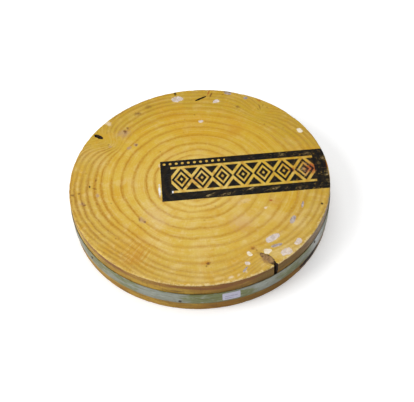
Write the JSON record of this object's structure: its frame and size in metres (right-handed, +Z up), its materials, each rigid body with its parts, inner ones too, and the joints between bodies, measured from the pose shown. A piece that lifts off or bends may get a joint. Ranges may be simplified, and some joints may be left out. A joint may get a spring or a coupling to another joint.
{
  "type": "round chopping block",
  "caption": "Round end-grain chopping block, a thick slice of a tree trunk bound around its side by a nailed and riveted steel hoop.",
  "frame": {"origin": "centre of the block's flat underside", "axes": "+Z up through the block's axis, -Y towards the side with the price label"},
  "size_m": [0.402, 0.4028, 0.06],
  "materials": {
    "wood": "planed end grain with a thin clear coat, printed in worn black ink",
    "hoop_steel": "dull galvanised strip, streaked up the side",
    "rivet_steel": "plain zinc-plated",
    "nail_steel": "darkened wire nail",
    "bark": "rough dry bark",
    "label": "blank coated paper",
    "putty": "hardened wood filler, sanded flush"
  },
  "bodies": {
    "root": {"wood_block": "wood", "steel_hoop": "hoop_steel", "lap_rivets": "rivet_steel", "hoop_nails": "nail_steel", "bark_pocket": "bark", "price_label": "label", "filler_1": "putty", "filler_2": "putty", "filler_3": "putty", "filler_4": "putty", "filler_5": "putty", "filler_6": "putty", "filler_7": "putty", "filler_8": "putty", "filler_9": "putty", "filler_10": "putty", "filler_11": "putty", "filler_12": "putty", "filler_13": "putty", "filler_14": "putty", "filler_15": "putty", "filler_16": "putty"}
  },
  "joints": []
}
